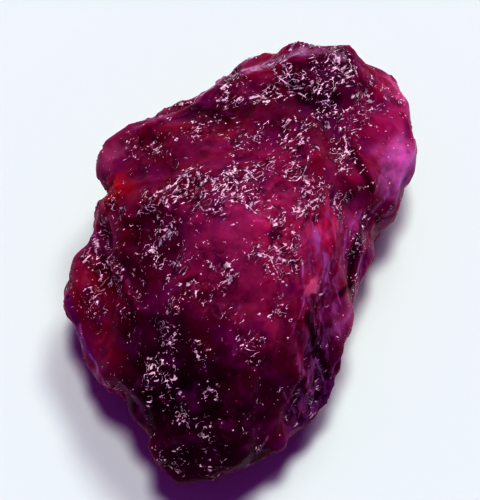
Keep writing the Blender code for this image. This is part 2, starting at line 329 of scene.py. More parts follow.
# %% Carve the ledges
# The points of each ledge as columns and rows, its rise in millimetres, and the way its steep
# side looks: up or down the frame.
LEDGES = [
    ([(193, 222), (200, 210), (214, 204), (232, 203), (250, 207), (270, 222)], 0.15, "up"),
    ([(138, 214), (150, 204), (166, 199), (182, 190)], 0.16, "up"),
    ([(120, 188), (150, 182), (180, 176), (205, 172)], 0.14, "down"),
    ([(232, 178), (246, 190), (262, 203), (280, 214)], 0.16, "up"),
    ([(262, 158), (283, 168), (298, 176), (312, 160)], 0.14, "down"),
    ([(300, 212), (312, 200), (322, 186)], 0.16, "up"),
    ([(268, 88), (300, 82), (335, 92)], 0.18, "down"),
    ([(270, 72), (300, 62), (335, 56)], 0.14, "down"),
    ([(150, 128), (175, 118), (198, 108)], 0.14, "down"),
    ([(98, 236), (110, 252), (124, 268), (130, 290), (142, 308)], 0.30, "up"),
    ([(286, 250), (300, 262), (306, 285), (302, 320)], 0.16, "down"),
]
LEDGE_REACH = 0.9
LEDGE_STEP = 0.16
up_the_frame = np.array(view_turn @ Vector((0, 1, 0)))


def ledge(points, rise, steep):
    """A step that falls steeply on one side and fades out gently on the other."""
    distance, offset, _ = along(points)
    side = np.sign(offset @ up_the_frame) * (1 if steep == "up" else -1)
    gentle = falloff(distance, LEDGE_REACH) * rise
    step = falloff(distance, LEDGE_STEP) * rise
    return np.where(side > 0, step, gentle)


for points, rise, steep in LEDGES:
    relief += ledge(points, rise, steep)
print(len(LEDGES), "ledges are carved")

# %% [markdown]
# ## The last touches to the outline
#
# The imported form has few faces, so its outline is a little too straight in places. A carver would
# look at the stone against the light and take a little off here and leave a little more there.
# Each touch is a soft swelling or dent at a place on the outline. One plain spot on the lobe is
# cleared of chips in the same way.

# %% Touch up the outline
# Column, row, radius in millimetres: places where the chips fade out.
PLAIN_SPOTS = [(375, 139, 1.5)]
for column, row, radius in PLAIN_SPOTS:
    relief *= 1 - spot(column, row, radius)

# Column, row, radius and rise in millimetres: swellings and dents of the outline.
OUTLINE_TOUCHES = [
    (190, 97, 1.6, -0.20), (208, 87, 1.0, -0.12), (325, 43, 1.2, 0.12), (258, 62, 1.0, -0.20),
    (282, 53, 1.2, -0.24), (130, 124, 1.0, 0.03), (158, 117, 1.2, 0.08), (97, 170, 1.2, -0.08),
    (104, 192, 0.6, 0.16), (93, 228, 0.9, -0.12), (65, 290, 1.0, 0.24), (76, 340, 1.2, -0.20),
    (110, 391, 1.2, -0.38), (92, 366, 0.9, -0.14), (369, 258, 1.2, -0.36), (343, 368, 1.2, -0.62),
    (300, 430, 1.6, -0.34), (265, 456, 1.4, -0.32), (225, 75, 0.6, 0.20), (368, 61, 0.8, 0.26),
    (411, 172, 1.2, 0.20), (398, 207, 0.9, -0.12), (352, 340, 1.2, 0.24), (316, 410, 1.0, 0.10),
    (135, 412, 1.3, 0.30), (152, 448, 1.0, 0.12),
]
for column, row, radius, rise in OUTLINE_TOUCHES:
    relief += rise * spot(column, row, radius)
print(len(OUTLINE_TOUCHES), "touches to the outline")

# %% [markdown]
# ## Streaks down the flank
#
# Fine streaks run down the right flank like the grain of wood, where thin plates of the crystal
# end one after another. They are a noise drawn out along the flank. Its crossings through zero
# make the sharp valleys between them.

# %% Draw the streaks down the flank
FLANK_LINE = [(318, 225), (312, 290), (318, 350), (305, 420)]
FLANK_REACH = 3.6
STREAK_WIDTH = 0.34
STREAK_LENGTH = 3.0
STREAK_DEPTH = 0.10
STREAK_LIFT = 2.0
STREAK_SINK = 0.5
flank = falloff(along(FLANK_LINE)[0], FLANK_REACH)
down_the_flank = np.array(seen_at(310, 400) - seen_at(322, 240))
down_the_flank /= np.linalg.norm(down_the_flank)
lengthwise = (places @ down_the_flank)[:, None] * down_the_flank
drawn = (places - lengthwise) / STREAK_WIDTH + lengthwise / STREAK_LENGTH
streaks = np.array([noise.noise(Vector(p)) for p in drawn])
relief += STREAK_DEPTH * flank * (np.abs(streaks) * STREAK_LIFT - STREAK_SINK)
print("the relief runs from", round(float(relief.min()), 2), "to", round(float(relief.max()), 2))

# %% [markdown]
# ## Lines over the stone
#
# Down the right flank and along the lower left edge the stone shows lilac threads: the edges of
# thin plates, with the light from behind coming through them painted in. Other lines are painted
# glints on the edges of broken ledges, painted shade in dark grooves, violet edges painted for the
# light that bends and turns back at the outline, one flat pink facet, and the pale floor's painted
# reflection in the slope at the back. A line much thinner than the skin's squares can't be kept as
# a colour at its points. Each point keeps two smooth numbers instead: how far it lies to the side
# of the nearest line, in half widths of that line, and how strong the line is. The material cuts
# the first at a level, which gives a crisp edge.

# %% Trace the threads
# In this list and the next ones: the points of each line as columns and rows, half its width in
# millimetres, its strength.
# Painted light: lilac threads for the light from behind coming through the edges of thin plates.
THREADS = [
    ([(314, 230), (319, 243), (324, 256), (327, 270), (326, 282)], 0.30, 0.75),
    ([(301, 266), (302, 276), (304, 285), (304, 298), (302, 308), (297, 320), (291, 338)], 0.06, 1.0),
    ([(296, 322), (292, 336), (294, 352), (300, 366)], 0.30, 0.45),
    ([(325, 282), (323, 295), (321, 306), (321, 318), (324, 328)], 0.06, 0.9),
    ([(327, 296), (333, 308), (336, 322), (338, 336)], 0.20, 0.6),
    ([(335, 287), (338, 296), (340, 304)], 0.05, 0.8),
    ([(364, 238), (362, 250), (360, 264), (358, 280), (357, 294), (355, 306)], 0.09, 1.0),
    ([(350, 311), (344, 322), (340, 334)], 0.16, 0.6),
    ([(347, 234), (343, 248), (343, 262), (344, 276)], 0.20, 0.5),
    ([(360, 214), (352, 226), (343, 235), (338, 244)], 0.14, 0.5),
    ([(372, 226), (366, 238), (364, 250)], 0.20, 0.5),
    ([(80, 328), (84, 349), (92, 362), (100, 374), (107, 387), (117, 396)], 0.14, 0.7),
    ([(92, 214), (95, 226), (98, 240)], 0.10, 0.7),
    ([(250, 466), (260, 453), (266, 440)], 0.09, 0.6),
    ([(404, 178), (395, 188), (384, 198), (374, 210)], 0.16, 0.6),
    ([(400, 140), (392, 156), (382, 172), (376, 190)], 0.12, 0.4),
    ([(285, 395), (292, 408), (300, 425)], 0.07, 0.6),
    ([(305, 372), (309, 388), (316, 402)], 0.06, 0.7),
    ([(318, 360), (322, 376), (330, 392)], 0.06, 0.7),
]
print(len(THREADS), "threads")

# %% Trace the painted glint strokes
# Painted glints: bright strokes where the edges of broken ledges catch the lamps.
GLINT_STROKES = [
    ([(139, 214), (143, 209), (147, 206), (151, 204), (157, 205)], 0.040, 1.0),
    ([(150, 198), (157, 192), (163, 188), (168, 184)], 0.075, 0.7),
    ([(172, 184), (180, 177), (186, 174), (190, 171)], 0.061, 1.0),
    ([(183, 190), (188, 184), (187, 178)], 0.082, 0.9),
    ([(202, 184), (207, 179)], 0.109, 0.8),
    ([(213, 180), (219, 184)], 0.054, 0.8),
    ([(234, 163), (235, 169)], 0.088, 1.0),
    ([(226, 172), (232, 175), (237, 182)], 0.102, 0.9),
    ([(240, 169), (247, 170), (252, 175), (258, 182)], 0.054, 0.9),
    ([(240, 196), (246, 192), (252, 189), (260, 188)], 0.048, 1.0),
    ([(221, 203), (230, 200), (238, 203), (246, 205), (255, 213)], 0.044, 0.8),
    ([(214, 209), (217, 202), (221, 195), (226, 188)], 0.048, 0.8),
    ([(200, 205), (205, 212), (211, 209)], 0.061, 0.6),
    ([(162, 238), (170, 234)], 0.068, 0.8),
    ([(163, 242), (169, 237)], 0.088, 0.8),
    ([(256, 163), (259, 168), (264, 171), (272, 172), (281, 176)], 0.040, 0.7),
    ([(306, 160), (305, 168), (302, 175), (297, 181), (291, 181)], 0.048, 1.0),
    ([(301, 210), (306, 206), (312, 201), (318, 196)], 0.075, 0.8),
    ([(275, 246), (280, 252), (286, 249)], 0.048, 0.8),
    ([(282, 259), (286, 261)], 0.102, 0.8),
    ([(271, 258), (274, 266), (278, 274)], 0.054, 0.8),
    ([(250, 254), (258, 252), (266, 255), (273, 258)], 0.041, 0.7),
    ([(274, 222), (280, 219)], 0.082, 0.6),
    ([(278, 305), (279, 312), (284, 313)], 0.040, 0.7),
    ([(286, 284), (287, 285)], 0.068, 1.0),
    ([(287, 70), (290, 78), (297, 85)], 0.041, 1.0),
    ([(279, 77), (286, 85), (292, 89), (300, 88)], 0.054, 0.8),
    ([(284, 100), (291, 95)], 0.054, 1.0),
    ([(294, 94), (298, 92), (304, 96)], 0.075, 1.0),
    ([(254, 98), (260, 97)], 0.102, 0.9),
    ([(264, 97), (267, 101)], 0.088, 0.9),
    ([(294, 115), (296, 122)], 0.075, 1.0),
    ([(303, 125), (308, 118), (312, 114)], 0.041, 0.9),
    ([(298, 136), (304, 131), (316, 124)], 0.040, 0.7),
    ([(294, 150), (298, 146), (302, 140)], 0.068, 0.9),
    ([(315, 147), (322, 148)], 0.088, 0.9),
    ([(326, 152), (338, 154), (350, 152), (356, 149)], 0.041, 0.8),
    ([(336, 160), (345, 158), (351, 154)], 0.061, 0.8),
    ([(335, 174), (340, 171), (345, 165)], 0.061, 0.9),
    ([(321, 101), (329, 100)], 0.041, 0.8),
    ([(353, 96), (360, 92)], 0.102, 1.0),
    ([(367, 88), (371, 97)], 0.082, 1.0),
    ([(342, 68), (346, 65)], 0.068, 1.0),
    ([(347, 73), (352, 70)], 0.095, 1.0),
    ([(355, 66), (357, 73)], 0.082, 1.0),
    ([(345, 79), (350, 77)], 0.068, 1.0),
    ([(333, 63), (336, 66)], 0.068, 0.9),
    ([(349, 86), (358, 84)], 0.061, 0.9),
    ([(365, 111), (372, 108), (379, 105)], 0.041, 0.8),
    ([(385, 114), (388, 111)], 0.068, 0.9),
    ([(401, 114), (405, 120)], 0.041, 0.6),
    ([(360, 173), (366, 168)], 0.040, 0.8),
    ([(120, 310), (124, 316)], 0.068, 0.8),
    ([(150, 252), (157, 247), (158, 255)], 0.041, 0.8),
    ([(172, 262), (177, 265)], 0.095, 0.6),
]
print(len(GLINT_STROKES), "bright strokes")

# %% Trace the grooves, the edges and the slopes
# Painted shade: the dark grooves are coloured near black for the shade inside them.
DARK_GROOVES = [
    ([(314, 299), (316, 311)], 0.34, 0.6),
    ([(310, 318), (314, 338), (320, 354)], 0.42, 0.75),
    ([(322, 356), (326, 374)], 0.34, 0.6),
    ([(353, 154), (362, 170), (372, 188)], 0.34, 0.7),
    ([(362, 226), (354, 245), (352, 262), (350, 284), (342, 292)], 0.28, 0.75),
    ([(330, 222), (331, 238), (334, 252)], 0.20, 0.4),
    ([(290, 80), (302, 98), (318, 104), (336, 100)], 0.45, 0.6),
    ([(195, 108), (215, 112), (225, 118)], 0.40, 0.6),
]
# Painted edge light and shade: a violet rim along the outline, for the light that bends and turns
# back at the edge.
VIOLET_EDGES = [
    ([(414, 160), (408, 188), (394, 208), (380, 228)], 0.34, 0.4),
    ([(380, 228), (370, 250), (362, 275), (358, 300), (354, 330)], 0.30, 0.55),
    ([(354, 330), (340, 360), (326, 395), (306, 425), (280, 445)], 0.34, 0.5),
    ([(68, 300), (78, 332), (93, 362), (110, 390), (126, 404)], 0.34, 0.55),
]
PINK_FACET = [([(309, 290), (312, 285)], 0.26, 0.8), ([(312, 287), (317, 289)], 0.30, 1.0)]
# Painted reflection: the pale floor seen in the steep slope at the back, drawn in as a pale band.
REFLECTING_SLOPES = [
    ([(206, 90), (225, 81), (243, 73), (262, 65)], 0.55, 0.75),
    ([(262, 65), (280, 58), (303, 51)], 0.40, 0.65),
    ([(303, 53), (322, 51), (342, 57)], 0.22, 0.5),
]
print(len(DARK_GROOVES) + len(VIOLET_EDGES) + len(REFLECTING_SLOPES), "grooves, edges and slopes")

# %% Keep the lines on the skin
WANDER_WIDTH = 0.8
LINE_BEND = 0.05
LINE_FADE = 0.30
LINE_ENDS = (0.1, 0.6)
FAR_AWAY = 9.0

wander = np.array([noise.noise(p / WANDER_WIDTH) for p in vectors])


def drawn_lines(lines):
    """The distance to the side of the nearest line, in its half widths, and its strength."""
    nearest = np.full(len(places), np.inf)
    side = np.full(len(places), FAR_AWAY)
    strength = np.zeros(len(places))
    for points, width, amount in lines:
        distance, _, to_the_side = along(points)
        closer = distance < nearest
        nearest[closer] = distance[closer]
        side[closer] = ((to_the_side + LINE_BEND * wander) / width)[closer]
        amounts = amount * smooth_step(falloff(distance, width + LINE_FADE), *LINE_ENDS)
        strength[closer] = amounts[closer]
    return side, strength


line_sets = {
    "threads": THREADS, "glint_strokes": GLINT_STROKES, "grooves": DARK_GROOVES,
    "pink_facet": PINK_FACET, "slope_reflections": REFLECTING_SLOPES, "edges": VIOLET_EDGES,
}
kept_numbers = {"etch": etch}
for name, lines in line_sets.items():
    kept_numbers[name + "_side"], kept_numbers[name + "_strength"] = drawn_lines(lines)
print("each point keeps", len(kept_numbers), "numbers")

# %% Keep the dashes and the hairy flank
# The dashes lie in the sharp valleys of the streaks. The hairs run where the flank is fluted.
DASH_SHARPNESS = 3.2
DASH_LEVELS = (0.45, 0.95)
DASH_GAPS = (-0.25, 0.3)
HAIRY_LINE = [(334, 215), (322, 280), (318, 340), (306, 405)]
HAIRY_REACH = 2.6
HAIRY_FADE = (0.1, 0.8)

in_valleys = smooth_step(1 - np.abs(streaks) * DASH_SHARPNESS, *DASH_LEVELS)
kept_numbers["dashes"] = flank * in_valleys * smooth_step(wander, *DASH_GAPS)
kept_numbers["flank"] = smooth_step(falloff(along(HAIRY_LINE)[0], HAIRY_REACH), *HAIRY_FADE)
print("hairy share of the skin:", round(float((kept_numbers["flank"] > 0.5).mean()), 2))

# %% [markdown]
# ## Moving the skin
#
# Each point moves along its own normal by the relief. The flat underside stays flat, because
# the stone rests on it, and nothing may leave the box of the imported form, so a point that would
# is held at the box's side.

# %% Move the skin
REST_HEIGHT = 0.02
REST_BAND = 0.25
low = np.array(cad_box[0]) / MILLIMETRE
high = np.array(cad_box[1]) / MILLIMETRE
normals = np.array([vert.normal for vert in skin.verts])
above_rest = np.clip((places[:, 2] - REST_HEIGHT) / REST_BAND, 0, 1)
moved = places + normals * (relief * above_rest)[:, None]
moved = np.clip(moved, low, high)
for vert, place in zip(skin.verts, moved):
    vert.co = place
skin.normal_update()
print("the furthest point moved", round(float(np.abs(moved - places).max()), 2), "mm")

# %% Make the gem's object
for name, amounts in kept_numbers.items():
    layer = skin.verts.layers.float.new(name)
    for vert, amount in zip(skin.verts, amounts):
        vert[layer] = amount
bmesh.ops.scale(skin, vec=Vector.Fill(3, MILLIMETRE), verts=skin.verts)
bmesh.ops.recalc_face_normals(skin, faces=skin.faces)
gem_mesh = bpy.data.meshes.new("gem")
skin.to_mesh(gem_mesh)
skin.free()
gem_mesh.shade_smooth()
gem = bpy.data.objects.new("gem", gem_mesh)
bpy.context.scene.collection.objects.link(gem)
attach(gem, "root")
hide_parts("crystal")
print("the gem has", len(gem_mesh.polygons), "faces")

# %% [markdown]
# ## Shader sums that read like sums
#
# A material is a network of nodes. Wrapping a socket in a small class lets Python's own signs
# add the Math nodes, so that a mask can be written as 1 - mask * 0.5. Any other node comes from
# one method, which sets the node up and links what goes into it.

# %% A small class for shader sums
# A Mix node has sockets for numbers, vectors and colours. These are its share and the colour ones.
MIX_SHARE = 0
MIX_FIRST = 6
MIX_SECOND = 7
MIX_RESULT = 2


class Wire:
    """A socket of a shader, with arithmetic."""

    def __init__(self, paint, socket):
        self.paint = paint
        self.socket = socket

    def math(self, operation, *values):
        """A Math node on these values."""
        return self.paint.node("ShaderNodeMath", {"operation": operation}, dict(enumerate(values)))

    def __add__(self, other):
        return self.math("ADD", self, other)

    def __sub__(self, other):
        return self.math("SUBTRACT", self, other)

    def __rsub__(self, other):
        return self.math("SUBTRACT", other, self)

    def __mul__(self, other):
        return self.math("MULTIPLY", self, other)

    __radd__ = __add__
    __rmul__ = __mul__

    def size(self):
        """The value without its sign."""
        return self.math("ABSOLUTE", self)

    def between(self, low, high):
        """0 at low, 1 at high, with a smooth step between."""
        ranges = {"From Min": low, "From Max": high, "Value": self}
        return self.paint.node("ShaderNodeMapRange", {"interpolation_type": "SMOOTHSTEP"}, ranges)


class Paint:
    """The nodes of a material, or of the world."""

    def __init__(self, painted):
        painted.use_nodes = True
        self.painted = painted
        self.tree = painted.node_tree

    def plug(self, socket, value):
        """Links a wire to a socket, or sets the socket to a value."""
        if isinstance(value, Wire):
            self.tree.links.new(value.socket, socket)
        else:
            socket.default_value = value

    def node(self, kind, settings, sockets, out=0):
        """A node of this kind, set up and linked. It gives the wire out of it."""
        made = self.tree.nodes.new(kind)
        for name, value in settings.items():
            setattr(made, name, value)
        for name, value in sockets.items():
            self.plug(made.inputs[name], value)
        return Wire(self, made.outputs[out])

    def mix(self, share, first, second):
        """A blend of two colours, all of the second where the share is 1."""
        sockets = {MIX_SHARE: share}
        for socket, colour in ((MIX_FIRST, first), (MIX_SECOND, second)):
            sockets[socket] = colour if isinstance(colour, Wire) else (*colour, 1)
        return self.node("ShaderNodeMix", {"data_type": "RGBA"}, sockets, MIX_RESULT)

    def vector(self, operation, *values, out="Vector", **named):
        """A step of vector maths."""
        sockets = dict(enumerate(values)) | named
        return self.node("ShaderNodeVectorMath", {"operation": operation}, sockets, out)


# %% [markdown]
# ## The colour of the gem
#
# Red beryl is a clear mineral with a strong red dye, but in rough like this the veils and tiny
# cracks turn the light back before it gets far. The colour then changes over the stone: pink where
# it is thin or cloudy, crimson in the middle, nearly black where it is thick and clear. Some zones
# also hold painted light and shade: the dark front, tip and low flank are thick stone and painted
# shade, as these sides face away from the lamps, and the pale face of the lobe is painted light
# from the floor, reflected and coming through. Each such zone is a soft ball of colour at a place
# on the stone, and a noise bends their borders.

# %% Mix the colour of the gem
CRIMSON = (0.31, 0.031, 0.080)
MAGENTA = (0.32, 0.035, 0.148)
BLACK_RED = (0.050, 0.018, 0.032)
PALE_VEIL = (0.60, 0.08, 0.30)
ZONE_BEND = 2.4
ZONE_CORE = 0.2
LITTLE_BEND = 0.8
CELL_STRETCH = (1.0, 0.5, 0.8)
HALF = (0.5, 0.5, 0.5)
# Column, row, radius in millimetres, strength, colour.
ZONES = {
    "dome": (240, 232, 4.4, 0.9, (0.537, 0.0836, 0.24)),
    "dome_foot": (245, 300, 4.4, 0.75, (0.464, 0.0665, 0.185)),
    "back_slope": (190, 150, 4.6, 0.6, (0.392, 0.0551, 0.119)),
    "left_slope": (150, 160, 3.2, 0.6, (0.206, 0.0302, 0.0568)),
    "crest": (190, 190, 3.0, 0.5, (0.269, 0.0331, 0.0594)),
    "crest_glow": (238, 185, 2.0, 0.6, (0.421, 0.0551, 0.144)),
    "right_slope": (285, 235, 3.0, 0.7, (0.737, 0.096, 0.241)),
    "right_waist": (318, 222, 2.4, 0.7, (0.822, 0.0856, 0.231)),
    "right_middle": (345, 175, 3.0, 0.7, (0.392, 0.0342, 0.119)),
    "lobe": (385, 120, 4.0, 0.8, (0.493, 0.0418, 0.177)),
    "lobe_top": (398, 95, 1.8, 0.8, (0.897, 0.19, 0.428)),
    # Painted light: the floor's light, reflected and coming through the lobe's face.
    "lobe_face_light": (402, 165, 2.6, 0.9, (0.875, 0.294, 0.654)),
    "left_end": (106, 155, 1.8, 0.8, (0.419, 0.104, 0.204)),
    "orange_spot": (112, 190, 1.7, 0.85, (0.601, 0.038, 0.0371)),
    "flange": (85, 285, 3.2, 0.8, (0.337, 0.0363, 0.0617)),
    "body_left": (145, 250, 3.6, 0.7, (0.114, 0.0218, 0.0314)),
    "left_foot": (135, 325, 3.2, 0.75, (0.0949, 0.0218, 0.0419)),
    # Painted shade with thick stone: the front, the tip and the low flank face away from the lamps.
    "front_shade": (190, 372, 5.6, 0.95, (0.0674, 0.0217, 0.0425)),
    "front_shade_low": (215, 430, 5.2, 0.85, (0.0674, 0.0217, 0.0425)),
    "front_left": (140, 400, 4.0, 0.85, (0.0367, 0.0202, 0.0297)),
    "flank_low_shade": (315, 395, 4.4, 0.9, (0.0585, 0.0235, 0.0551)),
    "flank_groove": (312, 335, 1.9, 0.8, (0.0685, 0.0218, 0.0349)),
    "pink_facet": (312, 287, 0.7, 0.95, (0.949, 0.196, 0.289)),
    "tip": (185, 465, 4.0, 0.85, (0.0582, 0.0218, 0.033)),
    "front_right": (270, 390, 3.8, 0.8, (0.0949, 0.0218, 0.0437)),
    "plate": (348, 320, 2.2, 0.7, (0.386, 0.0969, 0.218)),
    "knob": (325, 75, 3.4, 0.75, (0.131, 0.0342, 0.0771)),
    "back_right": (290, 110, 3.4, 0.7, (0.159, 0.0266, 0.0601)),
    "bottom": (250, 455, 3.4, 0.8, (0.0654, 0.0213, 0.0367)),
    "right_low": (282, 285, 2.4, 0.7, (0.527, 0.0604, 0.185)),
    "waist_edge": (355, 222, 1.9, 0.7, (0.527, 0.0856, 0.277)),
    "tip_right": (205, 460, 1.6, 0.7, (0.0949, 0.0221, 0.0463)),
    "slope_right": (318, 258, 2.0, 0.6, (0.507, 0.0551, 0.171)),
    "above_crest": (282, 186, 1.9, 0.6, (0.585, 0.076, 0.214)),
    "left_of_dome": (162, 222, 1.6, 0.6, (0.274, 0.0304, 0.103)),
    "right_back": (282, 160, 2.4, 0.7, (0.443, 0.0453, 0.149)),
    "front_upper": (200, 335, 2.0, 0.7, (0.19, 0.0221, 0.0556)),
    "low_middle": (235, 385, 1.8, 0.6, (0.147, 0.0221, 0.0556)),
    "back_top": (242, 104, 2.2, 0.7, (0.129, 0.0266, 0.0492)),
    "knob_foot": (318, 104, 1.6, 0.75, (0.09, 0.0241, 0.0546)),
    "flank_middle": (318, 345, 2.2, 0.75, (0.0707, 0.0241, 0.0459)),
    "back_dark": (205, 112, 2.0, 0.7, (0.0949, 0.024, 0.0437)),
}

paint = Paint(bpy.data.materials.new("red_beryl"))
coordinates = paint.node("ShaderNodeTexCoord", {}, {}, out="Object")
in_mm = paint.vector("SCALE", coordinates, Scale=1 / MILLIMETRE)


def clouds(scale, detail=3.0, out="Fac", where=in_mm):
    """A noise from 0 to 1, with this many swells to the millimetre."""
    sockets = {"Vector": where, "Scale": scale, "Detail": detail}
    return paint.node("ShaderNodeTexNoise", {}, sockets, out)


sideways = paint.vector("SUBTRACT", clouds(0.9, out="Color"), HALF)
bent = paint.vector("MULTIPLY_ADD", sideways, (ZONE_BEND,) * 3, in_mm)
bent_little = paint.vector("MULTIPLY_ADD", sideways, (LITTLE_BEND,) * 3, in_mm)
drawn_out = paint.vector("MULTIPLY", bent_little, CELL_STRETCH)
colour = paint.mix(clouds(0.35).between(0.35, 0.65), CRIMSON, MAGENTA)
for column, row, radius, strength, tint in ZONES.values():
    reach = paint.vector("DISTANCE", bent, tuple(seen_at(column, row)), out="Value")
    colour = paint.mix((1 - reach.between(radius * ZONE_CORE, radius)) * strength, colour, tint)
print(len(ZONES), "colour zones")

# %% [markdown]
# ## Veins, veils and lines
#
# Inside the zones the colour is never even. Dark veins are cracks and mineral dust, pale veils are
# healed cracks that scatter the light, and all of them are noises cut at a level. Over them go the
# lines that were kept on the skin. The threads are not plain ribbons: a noise drawn out along the
# flank splits each into fine hairs, and the same hairs cover the fluted flank faintly as painted
# glints.

# %% Add the veins and the veils
VIOLET = (0.25, 0.030, 0.175)
VIOLET_SHARE = 0.5
VEIN_SHARE = 0.45
MOTTLE_SHARE = 0.45
VEIL_SHARE = 0.25


def kept(name):
    """The number that the skin's points hold under this name."""
    return paint.node("ShaderNodeAttribute", {"attribute_name": name}, {}, "Fac")


etched = kept("etch")
violet_clouds = clouds(0.9, 4.0).between(0.48, 0.68)
colour = paint.mix(violet_clouds * VIOLET_SHARE, colour, VIOLET)
veins = clouds(0.8, 5.0).between(0.50, 0.74)
colour = paint.mix(veins * VEIN_SHARE, colour, BLACK_RED)
mottles = clouds(1.5, 2.0).between(0.50, 0.62) * (0.25 + 0.75 * etched)
colour = paint.mix(mottles * MOTTLE_SHARE, colour, BLACK_RED)
veils = clouds(2.3, 6.0).between(0.58, 0.76)
colour = paint.mix(veils * VEIL_SHARE, colour, PALE_VEIL)
print("the colour so far takes", len(paint.tree.nodes), "nodes")

# %% Draw the lines in their colours
LILAC = (0.56, 0.22, 0.50)
SLOPE_REFLECTION = (0.68, 0.46, 0.60)
EDGE_VIOLET = (0.20, 0.040, 0.22)
FACET_PINK = (0.70, 0.19, 0.33)
GROOVE_RED = (0.030, 0.012, 0.018)
DASH_SHARE = 0.35
HAIR_SHARE = 0.34
HAIR_STRETCH = (1.0, 0.18, 0.30)


def line_of(name, inner, outer):
    """1 on the lines of this name and 0 beside them, fading between two shares of their width."""
    return (1 - kept(name + "_side").size().between(inner, outer)) * kept(name + "_strength")


fibres = 0.3 + 0.7 * clouds(2.6, 3.0, where=drawn_out).between(0.36, 0.60)
down_the_hairs = paint.vector("MULTIPLY", bent_little, HAIR_STRETCH)
hairs = clouds(4.2, 3.0, where=down_the_hairs).between(0.44, 0.62)
colour = paint.mix(kept("dashes") * DASH_SHARE, colour, LILAC)
# Painted glints: the hairs lay faint lilac glints over the fluted flank.
colour = paint.mix(kept("flank") * hairs.between(0.2, 0.9) * HAIR_SHARE, colour, LILAC)
# Painted shade: the grooves darkened to near black.
colour = paint.mix(line_of("grooves", 0.2, 1.3), colour, GROOVE_RED)
# Painted edge light and shade: the violet rim along the outline.
colour = paint.mix(line_of("edges", 0.1, 1.6), colour, EDGE_VIOLET)
# Painted light: the lilac threads, light from behind coming through thin plates.
colour = paint.mix(line_of("threads", 0.1, 1.4) * (0.25 + 0.75 * hairs), colour, LILAC)
# Painted reflection: the pale floor in the back slope.
colour = paint.mix(line_of("slope_reflections", 0.5, 1.4) * fibres, colour, SLOPE_REFLECTION)
colour = paint.mix(line_of("pink_facet", 0.85, 1.05), colour, FACET_PINK)
print("with the lines it takes", len(paint.tree.nodes), "nodes")

# %% [markdown]
# ## Facets too small to model
#
# The finest facets of an etched patch are about a third of a millimetre wide, and longer than
# that. A bump stands in for them: each cell of a Voronoi noise is one facet, and the cell's own
# random colour, less a half, is the way it leans. Where the skin isn't etched the bump is almost
# gone.

# %% Tilt the facets
FACETS_TO_MM = 3.4
FACET_TILT = 1.3
RIPPLE_HEIGHT = 0.04
PLAIN_BUMP = 0.01
facet_cells = {"Vector": drawn_out, "Scale": FACETS_TO_MM}
middle = paint.node("ShaderNodeTexVoronoi", {}, facet_cells, "Position")
own_colour = paint.node("ShaderNodeTexVoronoi", {}, facet_cells, "Color")
away = paint.vector("SUBTRACT", drawn_out, middle)
tilt = paint.vector("SUBTRACT", own_colour, HALF)
lean = paint.vector("DOT_PRODUCT", away, tilt, out="Value")
ripples = (clouds(5.5, 1.0) - 0.5) * RIPPLE_HEIGHT
surface = (lean * FACET_TILT + ripples) * (PLAIN_BUMP + (1 - PLAIN_BUMP) * etched.between(0.1, 0.6))
bump_sockets = {"Strength": 1.0, "Distance": MILLIMETRE, "Height": surface}
bump = paint.node("ShaderNodeBump", {}, bump_sockets, out="Normal")
print("the facets are", round(1 / FACETS_TO_MM, 2), "mm wide")

# %% [markdown]
# ## Painted glints on the edges of the facets
#
# What flashes on etched beryl is mostly the edges: short bent strokes and single grains, in
# clusters. The reflection of a wide soft lamp is too dim and too blurred for that, so these
# glints are painted into the colour as pale strokes and grains. The strokes are the crests of a
# noise, where it crosses its middle, and the painted glint strokes that were kept on the skin.
# The grains are the middles of Voronoi cells, and the flashes are whole cells, chosen by their
# own random number. Other noises, raised where the skin is etched, cut them into clusters. Each
# has a dark rim of painted shade, for the shaded side of the edge.

# %% Paint the glints on the edges of the facets
# Painted glints: the pale colours of the glints, and the masks that place them on the facets.
GLINT_PALE = (1.0, 0.80, 0.80)
GLINT_WEAK = (1.0, 0.56, 0.67)
GLINT_COOL = (0.98, 0.77, 0.88)
STROKE_TURN = math.radians(35)
STROKE_STRETCH = 2.3
GRAINS_TO_MM = 3.6
FLATS_TO_MM = 5.2
FLASH_SHARE = 0.7
along_strokes = paint.node("ShaderNodeMapping", {"vector_type": "TEXTURE"}, {
    "Vector": bent_little,
    "Rotation": (0, 0, STROKE_TURN),
    "Scale": (STROKE_STRETCH, 1, 1),
})
swirl = clouds(3.1, 1.0, where=along_strokes)
crests = 1 - (swirl * 2 - 1).size()
broken = (clouds(3.0) + 0.22 * etched).between(0.65, 0.675)
glint_breaks = 0.15 + 0.85 * (clouds(4.6, 2.0) + 0.05 * etched).between(0.47, 0.56)
grain_cells = {"Vector": bent_little, "Scale": GRAINS_TO_MM}
dots = paint.node("ShaderNodeTexVoronoi", {}, grain_cells, "Distance")
dotted = (clouds(2.3) + 0.19 * etched).between(0.63, 0.655)
flat_cells = {"Vector": along_strokes, "Scale": FLATS_TO_MM}
flats = paint.node("ShaderNodeTexVoronoi", {}, flat_cells, "Color")
flat_choice = paint.vector("DOT_PRODUCT", flats, (1.0, 0.0, 0.0), out="Value")
flashes = flat_choice.between(0.91, 0.93) * broken * etched.between(0.3, 0.8)
glint_strokes = crests.between(0.92, 0.962) * broken + line_of("glint_strokes", 0.4, 1.1) * glint_breaks
grains = (1 - dots.between(0.13, 0.21)) * dotted
bright = 0.15 + 0.85 * (clouds(4.0, 4.0) + 0.07 * etched).between(0.42, 0.57)
painted_glint = (glint_strokes + grains + flashes * FLASH_SHARE).between(0.0, 1.0) * bright
glint_colour = paint.mix(clouds(1.3).between(0.42, 0.58), GLINT_PALE, GLINT_COOL)
glint_colour = paint.mix(bright.between(0.2, 0.8), GLINT_WEAK, glint_colour)
print("the frost takes the gem to", len(paint.tree.nodes), "nodes")

# %% Paint shade on the rims of the glints
ETCHED_SHARE = 0.45
